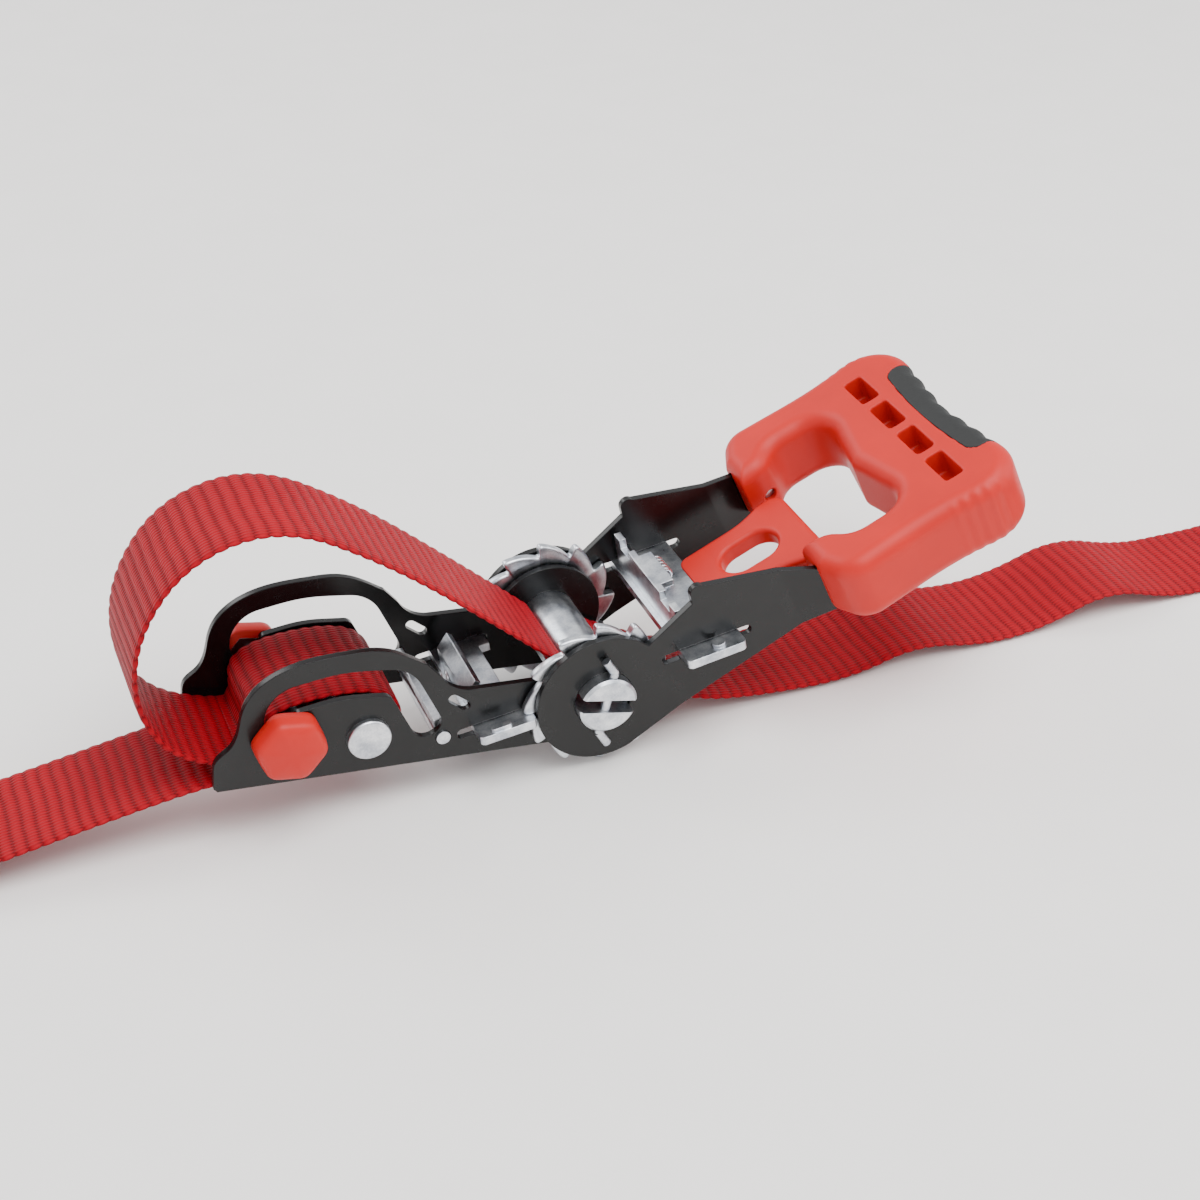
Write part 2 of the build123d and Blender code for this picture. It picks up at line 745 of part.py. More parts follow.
def s_hook(name, coat_name, plane):
    with BuildPart() as hook:
        with BuildLine(plane) as route:
            eye_and_shank = [(26.5, 5.5), (16, 14), (0, 14), (0, -14)]
            hook_route(eye_and_shank + outer_bend + [(40, -9.5)], [8, 6, 6, 7.5, 7.5])
        wire = route.wires()[0]
        with BuildSketch(Plane(origin=wire @ 0, z_dir=wire % 0)):
            Circle(wire_radius)
        sweep(path=wire)
    print(name, "length", round(wire.length, 1))
    save(hook.part, name)
    with BuildPart() as coat:
        with BuildLine(plane) as over:
            hook_route([(33, coat_from)] + outer_bend + [(38.6, -9.5)], [7.5, 7.5])
        sleeve = over.wires()[0]
        with BuildSketch(Plane(origin=sleeve @ 0, z_dir=sleeve % 0)):
            Circle(coat_radius)
        sweep(path=sleeve)
        with BuildLine(plane) as under:
            hook_route([(33, coat_from)] + outer_bend + [(39.95, -9.5)], [7.5, 7.5])
        core = under.wires()[0]
        with BuildSketch(Plane(origin=core @ 0, z_dir=core % 0)):
            Circle(wire_radius + 0.05)
        sweep(path=core, mode=Mode.SUBTRACT)
    save(coat.part, coat_name)


# The left end lies on the ground: its hook's eye is lifted by the webbing wrapped round it.
eye_rise = degrees(asin((eye_outer + 0.1 - 1.5) / (left_doubled + gather + 3.6)))
left_out = (-cos(radians(eye_rise)), 0, sin(radians(eye_rise)))
left_start = Plane(origin=(spool_x - 222, 0, 1.5), x_dir=(0, 1, 0), z_dir=left_out)
left_eye = sewn_end("sewn_end_left", left_start, left_doubled, 0)
hook_fall = radians(1.2)
left_plane = Plane(
    origin=left_eye,
    x_dir=(-cos(hook_fall), 0, -sin(hook_fall)),
    z_dir=(-sin(hook_fall), 0, cos(hook_fall)),
)
s_hook("s_hook_left", "hook_coat_left", left_plane)

# The right end lies inside the coil: the doubled part leaves the wall inward, its hook upright.
centre = Vector(spool_x + coil_x, coil_y, 0)
wall = Vector(1, 0, 0).rotate(Axis.Z, coil_end)
inward = Vector(0, -1, 0).rotate(Axis.Z, coil_end - 36)
right_start = Plane(
    origin=centre + wall * (coil_inner - web_thick - 0.1) + Vector(0, 0, web_width / 2),
    x_dir=(0, 0, 1),
    z_dir=inward,
)
right_eye = sewn_end("sewn_end_right", right_start, right_doubled, 2.45)
to_middle = (centre - Vector(right_eye.X, right_eye.Y, 0)).normalized()
right_plane = Plane(origin=right_eye, x_dir=to_middle, z_dir=to_middle.cross(Vector(0, 0, -1)))
s_hook("s_hook_right", "hook_coat_right", right_plane)
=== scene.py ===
import json
import math

import bpy
import numpy as np
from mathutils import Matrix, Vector


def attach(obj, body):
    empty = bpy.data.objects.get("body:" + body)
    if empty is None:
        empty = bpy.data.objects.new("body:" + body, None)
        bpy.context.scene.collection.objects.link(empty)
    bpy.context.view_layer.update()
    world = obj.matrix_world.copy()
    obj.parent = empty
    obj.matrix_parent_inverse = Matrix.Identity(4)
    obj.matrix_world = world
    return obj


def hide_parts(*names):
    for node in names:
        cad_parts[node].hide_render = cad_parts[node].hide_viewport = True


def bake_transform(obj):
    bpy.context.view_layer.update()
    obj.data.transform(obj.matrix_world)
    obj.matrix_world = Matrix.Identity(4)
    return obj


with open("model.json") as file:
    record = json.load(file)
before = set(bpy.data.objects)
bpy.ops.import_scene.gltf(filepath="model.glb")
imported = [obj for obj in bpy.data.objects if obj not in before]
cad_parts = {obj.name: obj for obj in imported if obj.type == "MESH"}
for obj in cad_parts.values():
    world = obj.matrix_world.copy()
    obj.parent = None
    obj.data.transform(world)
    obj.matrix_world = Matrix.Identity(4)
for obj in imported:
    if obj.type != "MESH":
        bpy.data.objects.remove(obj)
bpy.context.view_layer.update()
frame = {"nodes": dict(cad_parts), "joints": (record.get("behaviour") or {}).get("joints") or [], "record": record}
MM = 0.001

# The handle swings about the spool's axis, which is the origin of every side profile.
joints = {joint["name"]: joint for joint in frame["joints"]}
SPOOL = np.array(joints["handle_swing"]["pos_m"])

# Directions of the side profiles, in degrees up from the ground.
BASE_ANGLE, HANDLE_ANGLE, SLOT_ANGLE = -6.3, 23.6, -14.0
HOLD_ANGLE, DRIVE_ANGLE = 6.9, 8.9


# ---- camera: its place from the spool's axis and its aim were fitted to the photograph ----
CAMERA_FROM_SPOOL = Vector((-0.12765, -0.33220, 0.24951))
CAMERA_AIM = Vector((0.31275, 0.77154, -0.55400))
camera_data = bpy.data.cameras.new("camera")
camera_data.lens = 60.34
camera_data.sensor_width = 36.0
camera = bpy.data.objects.new("camera", camera_data)
bpy.context.scene.collection.objects.link(camera)
camera.location = Vector(SPOOL) + CAMERA_FROM_SPOOL
camera.rotation_euler = CAMERA_AIM.to_track_quat("-Z", "Y").to_euler()
bpy.context.scene.camera = camera


# ---- mesh helpers ----
def new_mesh(name, verts, faces, smooth=True):
    mesh = bpy.data.meshes.new(name)
    mesh.from_pydata([tuple(v) for v in verts], [], [tuple(f) for f in faces])
    mesh.validate()
    mesh.update()
    if smooth:
        mesh.polygons.foreach_set("use_smooth", [True] * len(mesh.polygons))
    piece = bpy.data.objects.new(name, mesh)
    bpy.context.scene.collection.objects.link(piece)
    return piece


def nurbs_line(name, points):
    """Points along a smooth NURBS line through the route's control points."""
    curve = bpy.data.curves.new(name, "CURVE")
    curve.dimensions = "3D"
    curve.resolution_u = 32
    spline = curve.splines.new("NURBS")
    spline.points.add(len(points) - 1)
    for control, point in zip(spline.points, points):
        control.co = (*point, 1.0)
    spline.order_u = 3
    spline.use_endpoint_u = True
    carrier = bpy.data.objects.new(name, curve)
    bpy.context.scene.collection.objects.link(carrier)
    bpy.context.view_layer.update()
    mesh = bpy.data.meshes.new_from_object(carrier)
    line = np.array([v.co for v in mesh.vertices], float)
    bpy.data.meshes.remove(mesh)
    bpy.data.objects.remove(carrier)
    bpy.data.curves.remove(curve)
    return line


def distances(line):
    """Distance along the line at each of its points."""
    runs = np.linalg.norm(np.diff(line, axis=0), axis=1)
    return np.concatenate([[0], np.cumsum(runs)])


def line_length(line):
    return float(distances(line)[-1])


def even_steps(line, step):
    """The line at even steps, with the distance along it."""
    along = distances(line)
    count = max(2, int(round(along[-1] / step)) + 1)
    at = np.linspace(0, along[-1], count)
    return np.stack([np.interp(at, along, line[:, k]) for k in range(3)], axis=1), at


# ---- webbing ----
# RIB is from one rib to the next; the half thicknesses are on a rib and in the valley beside it.
WIDTH, RIB = 25.4 * MM, 2.7 * MM
HALF_ON_RIB, HALF_IN_VALLEY = 0.70 * MM, 0.36 * MM
HALF_ACROSS = [0.16, 0.32, 0.48, 0.64, 0.8, 0.9, 0.97, 1]
ACROSS = np.array([-v for v in reversed(HALF_ACROSS)] + [0] + HALF_ACROSS)

# Where it is gathered, the webbing loses this share of its width and lies in pleats of this height.
GATHERED_LOSS, PLEAT = 0.53, 0.28 * MM


def webbing(name, line, roll=None, phase=0.0, step=RIB / 6, width=None, gathered=None, shift=0.0):
    """Ribbed webbing along a line, with s the distance along it.

    roll(s) turns its width from Y toward Z, in radians; width gives one direction for all of it instead.
    gathered(s) goes from 0, full width, to 1, drawn together in pleats and moved sideways by shift."""
    centre, at = even_steps(line, step)
    tangent = np.gradient(centre, axis=0)
    tangent /= np.linalg.norm(tangent, axis=1)[:, None]
    turn = np.array([roll(s) if roll else 0.0 for s in at])
    side = np.stack([np.zeros_like(turn), np.cos(turn), np.sin(turn)], axis=1)
    if width is not None:
        side = np.tile(np.array(width, float), (len(at), 1))
    side -= tangent * np.sum(side * tangent, axis=1)[:, None]
    side /= np.linalg.norm(side, axis=1)[:, None]
    normal = np.cross(tangent, side)
    count = len(ACROSS)
    rows = len(at)
    across = np.concatenate([ACROSS, ACROSS[::-1]])
    face = np.concatenate([np.ones(count), -np.ones(count)])
    s = (at + phase)[:, None]
    a = across[None, :]
    wobble = 0.10 * MM * np.sin(a * 5.1 + s / (31 * MM)) + 0.07 * MM * np.sin(a * 13.0 + s / (11 * MM))
    wave = np.abs(np.sin(math.pi * (s + wobble) / RIB)) ** 0.6
    edge = np.clip(1 - np.abs(a) ** 14, 0, 1) ** 0.5
    half = (HALF_IN_VALLEY + (HALF_ON_RIB - HALF_IN_VALLEY) * wave) * (0.25 + 0.75 * edge)
    swell = 1 - 0.022 * (1 - wave[:, :1]) + 0.004 * np.sin(s / (7.3 * MM)) - 0.006
    reach = WIDTH / 2 * swell * a
    drawn = np.array([gathered(v) if gathered else 0.0 for v in at])[:, None]
    reach = reach * (1 - GATHERED_LOSS * drawn) + shift * drawn
    lift = half * face[None, :] + drawn * PLEAT * np.sin(2.5 * math.pi * a)
    verts = (
        centre[:, None, :]
        + side[:, None, :] * reach[:, :, None]
        + normal[:, None, :] * lift[:, :, None]
    ).reshape(-1, 3)
    loop = 2 * count
    grid = np.arange(rows * loop).reshape(rows, loop)
    faces = []
    for i in range(rows - 1):
        here, there = grid[i], grid[i + 1]
        for k in range(loop):
            n = (k + 1) % loop
            faces.append((here[k], here[n], there[n], there[k]))
    for row, order in ((grid[0], 1), (grid[-1], -1)):
        for k in range(count - 1):
            quad = (row[k], row[loop - 1 - k], row[loop - 2 - k], row[k + 1])
            faces.append(quad[::order])
    piece = new_mesh(name, verts, faces)
    weave = piece.data.attributes.new("weave", "FLOAT_VECTOR", "POINT")
    data = np.stack(
        [
            np.broadcast_to(a * WIDTH / 2, (rows, loop)).ravel(),
            np.broadcast_to(s + wobble, (rows, loop)).ravel(),
            np.broadcast_to(face[None, :], (rows, loop)).ravel(),
        ],
        axis=1,
    )
    weave.data.foreach_set("vector", data.astype(np.float32).ravel())
    return piece, centre, at


# ---- the webbing's routes: the part's own, along X and Z in mm from the spool's axis ----
def place(x, z):
    return (SPOOL[0] + x * MM, 0.0, SPOOL[2] + z * MM)


def side_route(points):
    return [place(x, z) for x, z in points]


left_route = side_route([
    (-73, -3.4), (-84, -3.6), (-104, -6.6), (-124, -9.8), (-145, -13.4),
    (-166, -16.2), (-192, -16.45), (-222, -16.4),
])
loop_route = side_route([
    (-75, -0.6), (-87, 2.8), (-94.3, 17.3), (-92, 34.3), (-80.5, 48.8),
    (-62, 52.3), (-43, 39.8), (-24, 22.8), (-6.2, 5.7),
])
wrap_route = side_route([
    (-73, -3.4), (-64, -3.24), (-52, -5.3), (-42.2, -5.7), (-42.0, 11.2),
    (-71.3, 11.9), (-71.3, -1.65), (-75, -0.6),
])
right_route = side_route([
    (7.7, -1.9), (15, -6.4), (27, -12.6), (43, -15.2), (63, -16.3), (80, -11.8), (98, -16.4),
    (114, -15.6), (131, -9.6), (150, -16.2), (166, -16.5), (178, -16.5),
])

# Past the floor stretch the webbing rolls onto its edge and goes round in a coil, in mm from the axis.
# PITCH is how far one turn of the coil lies inside the turn before it.
FLOOR_GAP = 0.05 * MM
TWIST_FROM, TWIST_TO = 178.0, 228.0
COIL_X, COIL_Y, COIL_R = 250.0, -66.0, 65.6
TURNS, PITCH, PER_TURN = 3.2, 9.5, 16
twist_route = []
for share in (0.25, 0.5, 0.75, 1.0):
    rolled = math.pi / 2 * share
    along = TWIST_FROM + (TWIST_TO - TWIST_FROM) * share
    lift = WIDTH / 2 * math.sin(rolled) + HALF_ON_RIB * math.cos(rolled) + FLOOR_GAP
    twist_route.append((SPOOL[0] + along * MM, 0.0, lift))
coil_route = []
for step in [*range(int(TURNS * PER_TURN) + 1), TURNS * PER_TURN]:
    turn = math.pi / 2 - 2 * math.pi * step / PER_TURN
    radius = COIL_R - PITCH * step / PER_TURN
    coil_route.append((
        SPOOL[0] + (COIL_X + radius * math.cos(turn)) * MM,
        (COIL_Y + radius * math.sin(turn)) * MM,
        WIDTH / 2 + FLOOR_GAP,
    ))

left_line = nurbs_line("left_line", left_route)
loop_line = nurbs_line("loop_line", loop_route)
right_line = nurbs_line("right_line", right_route + twist_route + coil_route)
wrap_line = nurbs_line("wrap_line", wrap_route)

strap_left, left_centre, _ = webbing("webbing_left", left_line)
strap_loop, loop_centre, _ = webbing("webbing_loop", loop_line, phase=0.4 * MM)
strap_wrap, _, _ = webbing("webbing_wrap", wrap_line, phase=1.1 * MM)

# Where along the right run the roll starts and ends, read on the stretch before the coil turns back.
roll_x = [SPOOL[0] + TWIST_FROM * MM, SPOOL[0] + TWIST_TO * MM]
before_coil = int(np.argmax(right_line[:, 0] > roll_x[1]))
roll_from, roll_to = np.interp(roll_x, right_line[:before_coil, 0], distances(right_line)[:before_coil])


def right_roll(s):
    share = min(max((s - roll_from) / (roll_to - roll_from), 0.0), 1.0)
    return math.pi / 2 * share


strap_right, right_centre, _ = webbing("webbing_right", right_line, roll=right_roll, phase=0.9 * MM)

# Webbing inside the spool's slot, and the short stretches that bend as the spool turns.
slot_turn = math.radians(SLOT_ANGLE)


def in_slot(s):
    return place(s * math.cos(slot_turn), s * math.sin(slot_turn))


spool_line = nurbs_line("spool_line", [in_slot(-5.6), in_slot(-2), in_slot(2.1), in_slot(5.6)])
strap_spool, _, _ = webbing("webbing_in_spool", spool_line, phase=0.2 * MM)
entry_route = [place(-8.2, 7.62), place(-6.2, 5.7), place(-6.9, 2.9), in_slot(-6.2), in_slot(-4.6)]
entry_line = nurbs_line("entry_line", entry_route)
strap_entry, _, _ = webbing("webbing_entry", entry_line, phase=0.6 * MM)
exit_route = [in_slot(4.6), in_slot(6.4), place(7.7, -1.9), place(10.4, -3.56)]
exit_line = nurbs_line("exit_line", exit_route)
strap_exit, _, _ = webbing("webbing_exit", exit_line)


# ---- sewn ends: the webbing doubled, stitched and drawn together round the hook ----
# In mm: the length drawn together, the eye's middle past the doubled part, and the eye's radius.
GATHER, RING_AT, RING = 14.0, 17.6, 3.5
LEFT_DOUBLED, RIGHT_DOUBLED = 38.0, 12.4

# In mm: rows across the webbing, steps along a row and along the two end rows, and the height of a
# stitch's middle; then half its length, its number of sides and its radius at places along it.
STITCH_ROWS = (-10.2, -5.1, 0.0, 5.1, 10.2)
ROW_STEP, END_STEP, STITCH_HEIGHT = 3.1, 3.0, 1.46
STITCH_REACH, STITCH_SIDES = 1.25, 6
STITCH_RADII = ((-STITCH_REACH, 0.05), (-0.95, 0.26), (0.0, 0.32), (0.95, 0.26), (STITCH_REACH, 0.05))


def smooth_share(value):
    value = min(max(value, 0.0), 1.0)
    return value * value * (3 - 2 * value)


def stitch_rows(name, origin, along, width, normal, length):
    """Rows of raised stitches on both faces of the doubled part, which is length mm long."""
    verts, faces = [], []
    spots = []
    for row in STITCH_ROWS:
        for k in range(int((length - 3.0) / ROW_STEP)):
            spots.append((2.6 + ROW_STEP * k, row, along, width))
    for end in (1.8, length - 1.6):
        for k in range(8):
            spots.append((end, -10.5 + END_STEP * k, width, along))
    for face in (-1, 1):
        for u, v, run, across in spots:
            middle = origin + along * u * MM + width * v * MM + normal * face * STITCH_HEIGHT * MM
            start = len(verts)
            for reach, size in STITCH_RADII:
                dip = 0.28 * (abs(reach) / STITCH_REACH) ** 2
                for k in range(STITCH_SIDES):
                    turn = 2 * math.pi * k / STITCH_SIDES
                    verts.append(
                        middle + run * reach * MM
                        + across * size * math.cos(turn) * MM
                        + normal * face * (size * math.sin(turn) - dip) * MM
                    )
            for ring in range(len(STITCH_RADII) - 1):
                first = start + ring * STITCH_SIDES
                for k in range(STITCH_SIDES):
                    a, b = first + k, first + (k + 1) % STITCH_SIDES
                    faces.append((a, b, b + STITCH_SIDES, a + STITCH_SIDES))
    return new_mesh(name, verts, faces)


def sewn_end(name, origin, along, width, doubled, shift):
    """Webbing folded back round the hook's eye, and its stitches; along points at the hook, lengths in mm."""
    origin, along, width = np.array(origin), np.array(along), np.array(width)
    normal = np.cross(along, width)
    upper = [(0, 0.72), (doubled * 0.5, 0.72), (doubled, 0.76), (doubled + 6, 1.15), (doubled + 12, 2.5)]
    ring = [
        (doubled + RING_AT + RING * math.cos(turn), RING * math.sin(turn))
        for turn in np.linspace(math.radians(100), math.radians(-100), 11)
    ]
    flat = upper + ring + [(u, -v) for u, v in reversed(upper)]
    points = [tuple(origin + along * u * MM + normal * v * MM) for u, v in flat]
    line = nurbs_line(name + "_line", points)
    total = line_length(line)

    def gathered(s):
        return smooth_share((min(s, total - s) / MM - doubled) / GATHER)

    piece, _, _ = webbing(name, line, width=width, gathered=gathered, shift=shift * MM, phase=0.3 * MM)
    stitched = stitch_rows(name + "_stitches", origin, along, width, normal, doubled)
    return piece, stitched


# The left end rises so that the hook's eye, EYE_OUTER in radius, just clears the floor.
LEFT_HEIGHT, EYE_OUTER, EYE_GAP = 1.5, 4.4, 0.1
eye_rise = math.asin((EYE_OUTER + EYE_GAP - LEFT_HEIGHT) / (LEFT_DOUBLED + RING_AT))
end_left, stitches_left = sewn_end(
    "webbing_end_left",
    (left_route[-1][0], 0, LEFT_HEIGHT * MM),
    (-math.cos(eye_rise), 0, math.sin(eye_rise)), (0, 1, 0), LEFT_DOUBLED, 0.0,
)

# The right end lies just inside the coil's last point and turns in toward the coil's middle.
coil_end, hook_aim = math.radians(18), math.radians(-18)
end_radius = COIL_R - PITCH * TURNS - HALF_ON_RIB / MM
end_right, stitches_right = sewn_end(
    "webbing_end_right",
    (
        SPOOL[0] + (COIL_X + end_radius * math.cos(coil_end)) * MM,
        (COIL_Y + end_radius * math.sin(coil_end)) * MM,
        WIDTH / 2,
    ),
    (math.sin(hook_aim), -math.cos(hook_aim), 0), (0, 0, 1), RIGHT_DOUBLED, 2.45,
)


# ---- springs ----
def tube(name, centres, radius, sides=8):
    """Round wire along the centres, closed at both ends."""
    centres = np.array(centres)
    tangent = np.gradient(centres, axis=0)
    tangent /= np.linalg.norm(tangent, axis=1)[:, None]
    aside = np.cross(tangent[0], (0.3, 0.5, 0.8))
    verts, faces = [], []
    for centre, aim in zip(centres, tangent):
        aside = aside - aim * np.dot(aside, aim)
        aside /= np.linalg.norm(aside)
        third = np.cross(aim, aside)
        for k in range(sides):
            turn = 2 * math.pi * k / sides
            verts.append(centre + radius * (aside * math.cos(turn) + third * math.sin(turn)))
    for i in range(len(centres) - 1):
        for k in range(sides):
            a, b = i * sides + k, i * sides + (k + 1) % sides
            faces.append((a, b, b + sides, a + sides))
    faces.append(list(range(sides))[::-1])
    faces.append(list(range(len(verts) - sides, len(verts))))
    return new_mesh(name, verts, faces)


def tilted(angle, along, up, y):
    """Point in mm along and above a direction through the spool's axis, angle degrees up, and y across."""
    turn = math.radians(angle)
    return SPOOL + np.array([
        along * math.cos(turn) - up * math.sin(turn), y, along * math.sin(turn) + up * math.cos(turn),
    ]) * MM


SPRING_STEPS = 160
HOLD_FROM, HOLD_LENGTH, HOLD_UP = -32.0, 4.9, 3.0
HOLD_TURNS, HOLD_COIL, HOLD_WIRE = 4, 1.7, 0.35


def hold_spring_line():
    """Compression spring along the holding pawl's slide."""
    points = []
    for share in np.linspace(0, 1, SPRING_STEPS + 1):
        turn = 2 * math.pi * (0.5 + HOLD_TURNS * share)
        up = HOLD_UP + HOLD_COIL * math.cos(turn)
        points.append(tilted(HOLD_ANGLE, HOLD_FROM + HOLD_LENGTH * share, up, HOLD_COIL * math.sin(turn)))
    return points


DRIVE_ALONG, DRIVE_UP, DRIVE_FROM, DRIVE_TO = 24.6, 7.5, 3.0, 9.0
DRIVE_TURNS, DRIVE_COIL, DRIVE_WIRE = 4.75, 1.9, 0.4
DRIVE_LEG, DRIVE_ARM = 3.7, 9.4


def drive_spring_line():
    """Torsion spring about Y: a leg toward the spool, the coil, and an arm along Y to the handle plate."""
    points = []
    for share in np.linspace(0, 1, 6, endpoint=False):
        along = DRIVE_ALONG - DRIVE_LEG * (1 - share)
        points.append(tilted(DRIVE_ANGLE, along, DRIVE_UP + DRIVE_COIL, DRIVE_FROM))
    for share in np.linspace(0, 1, SPRING_STEPS + 1):
        turn = 2 * math.pi * DRIVE_TURNS * share
        along = DRIVE_ALONG + DRIVE_COIL * math.sin(turn)
        up = DRIVE_UP + DRIVE_COIL * math.cos(turn)
        points.append(tilted(DRIVE_ANGLE, along, up, DRIVE_FROM + (DRIVE_TO - DRIVE_FROM) * share))
    for step in range(1, 8):
        y = DRIVE_TO + DRIVE_ARM * step / 7
        points.append(tilted(DRIVE_ANGLE, DRIVE_ALONG - DRIVE_COIL, DRIVE_UP, y))
    return points


hold_spring = tube("coil_spring", hold_spring_line(), HOLD_WIRE * MM)
drive_spring = tube("torsion_spring", drive_spring_line(), DRIVE_WIRE * MM)


# ---- ratchet wheels and bolt caps: one outline in XZ carried along Y, inset at its ends ----
def softened(points, passes):
    """Closed outline with its corners rounded by averaging neighbours."""
    for _ in range(passes):
        points = 0.5 * points + 0.25 * (np.roll(points, 1, axis=0) + np.roll(points, -1, axis=0))
    return points


def outline_solid(name, outline, levels, hole, centre, turn):
    """Outline lofted through (y, inset) levels, turned and moved; a hole radius above zero leaves a bore."""
    samples = len(outline)
    inward = -outline / np.linalg.norm(outline, axis=1)[:, None]
    rings = [[(*(point + aim * inset), y) for point, aim in zip(outline, inward)] for y, inset in levels]
    rim = max(hole, 0.02 * MM)
    for end, place_at in ((levels[0][0], 0), (levels[-1][0], len(rings) + 1)):
        rings.insert(place_at, [(-aim[0] * rim, -aim[1] * rim, end) for aim in inward])
    if hole > 0:
        rings.append(rings[0])
    c, s = math.cos(turn), math.sin(turn)
    verts = [
        (x * c - z * s + centre[0], y, x * s + z * c + centre[1])
        for ring in (rings[:-1] if hole > 0 else rings)
        for x, z, y in ring
    ]
    total = len(verts)
    faces = []
    for ring in range(len(rings) - 1):
        for k in range(samples):
            n = (k + 1) % samples
            here, there = ring * samples, (ring + 1) * samples
            corners = [here + k, here + n, there + n, there + k]
            faces.append([corner % total for corner in corners])
    if hole <= 0:
        faces.append(list(range(samples))[::-1])
        faces.append(list(range(total - samples, total)))
    return new_mesh(name, verts, faces)


# TIP is past the part's own tip radius, because softening draws the tips in.
# PAWL_SIDE is half the holding pawl's thickness and a small gap.
TEETH, TIP, ROOT = 12, 17.35 * MM, 13.9 * MM
PART_TIP, PAWL_SIDE, BORE = 17.2 * MM, 1.05 * MM, 6.5 * MM
WHEEL_INNER, WHEEL_OUTER = 15.6 * MM, 17.6 * MM
PAWL_LINE = math.radians(180 + HOLD_ANGLE)
ROOT_TURN = PAWL_LINE - math.asin(PAWL_SIDE / ROOT)
TIP_TURN = PAWL_LINE - math.asin(PAWL_SIDE / PART_TIP)
PITCH_TURN = 2 * math.pi / TEETH


def tooth_line():
    """Teeth that swell from root to tip, then drop along the face the pawl rests on."""
    points = []
    for tooth in range(TEETH):
        start = ROOT_TURN + tooth * PITCH_TURN
        span = TIP_TURN + PITCH_TURN - ROOT_TURN
        for part in np.linspace(0, 1, 20, endpoint=False):
            swell = ROOT + (TIP - ROOT) * part ** 0.85
            points.append((swell * math.cos(start + span * part), swell * math.sin(start + span * part)))
        tip = np.array([math.cos(start + span), math.sin(start + span)]) * TIP
        foot = np.array([math.cos(start + PITCH_TURN), math.sin(start + PITCH_TURN)]) * ROOT
        for part in np.linspace(0, 1, 8, endpoint=False):
            points.append(tuple(tip + (foot - tip) * part))
    return softened(np.array(points), 7)


def wheel(name, low, high):
    """Toothed wheel between two values of Y, with its rim rounded over."""
    soft = 0.55 * MM
    levels = []
    for part in range(5):
        bend = math.pi / 2 * part / 4
        levels.append((low + soft * (1 - math.sin(bend)), soft * (1 - math.cos(bend))))
    levels = levels[::-1] + [(low + high - y, inset) for y, inset in levels]
    return outline_solid(name, tooth_line(), levels, BORE, (SPOOL[0], SPOOL[2]), 0.0)


wheel_near = wheel("wheel_near", -WHEEL_OUTER, -WHEEL_INNER)
wheel_far = wheel("wheel_far", WHEEL_INNER, WHEEL_OUTER)

# The lock bolt's place along and above the base's direction, in mm, and its caps. CAP_TURN is in degrees.
BOLT_ALONG, BOLT_UP = -66.2, -2.2
CAP_INNER, CAP_OUTER = 15.4 * MM, 20.95 * MM
CAP_FLATS, CAP_TURN = 14.0 * MM, -6.0

# Share of the cap's depth from its inner end, and how far the outline is inset there, in mm.
CAP_INSETS = [
    (0.0, 0.25), (0.03, 0.05), (0.3, 0.1), (0.62, 0.35), (0.72, 0.6),
    (0.80, 1.0), (0.85, 1.6), (0.9, 2.6), (0.94, 4.0), (0.97, 5.4),
]


def bolt_cap(name, inner, outer):
    """Soft hexagonal plastic cap, a little smaller and domed at its outer end."""
    corner_radius = CAP_FLATS / math.sqrt(3)
    turns = [math.radians(CAP_TURN + 60 * k) for k in range(7)]
    corners = [np.array([math.cos(turn), math.sin(turn)]) * corner_radius for turn in turns]
    points = []
    for here, there in zip(corners, corners[1:]):
        points += [here + (there - here) * part for part in np.linspace(0, 1, 14, endpoint=False)]
    outline = softened(np.array(points), 9)
    levels = sorted((inner + (outer - inner) * part, inset * MM) for part, inset in CAP_INSETS)
    bolt = tilted(BASE_ANGLE, BOLT_ALONG, BOLT_UP, 0.0)
    return outline_solid(name, outline, levels, 0.0, (bolt[0], bolt[2]), math.radians(BASE_ANGLE))


cap_near = bolt_cap("cap_near", -CAP_INNER, -CAP_OUTER)
cap_far = bolt_cap("cap_far", CAP_INNER, CAP_OUTER)


# ---- grip and its rubber pad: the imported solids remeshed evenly, with the moulded relief added ----
def moulded(name, node, voxel, relief):
    """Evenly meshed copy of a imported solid, with its surface moved in and out.

    relief takes each point's place along the handle and its Y, and gives its moves along both, all in mm."""
    piece = bpy.data.objects.new(name, frame["nodes"][node].data.copy())
    bpy.context.scene.collection.objects.link(piece)
    remesh = piece.modifiers.new("even", "REMESH")
    remesh.mode = "VOXEL"
    remesh.voxel_size = voxel
    remesh.use_smooth_shade = True
    bpy.context.view_layer.update()
    mesh = bpy.data.meshes.new_from_object(piece.evaluated_get(bpy.context.evaluated_depsgraph_get()))
    piece.modifiers.clear()
    piece.data = mesh
    turn = math.radians(HANDLE_ANGLE)
    aim = np.array([math.cos(turn), 0, math.sin(turn)])
    at = np.array([v.co for v in mesh.vertices])
    forward, sideways = relief((at - SPOOL) @ aim / MM, at[:, 1] / MM)
    at += aim * forward[:, None] * MM
    at[:, 1] += sideways * MM
    mesh.vertices.foreach_set("co", at.ravel())
    mesh.update()
    return piece


def scallops(out, y):
    """Six hollows across the pad's outer face."""
    count, half_width, depth = 6, 19, 0.5
    dip = 0.5 - 0.5 * np.cos(2 * math.pi * count * (y + half_width) / (2 * half_width))
    return -depth * np.clip((out - 94.6) / 2.5, 0, 1) * dip, np.zeros_like(y)


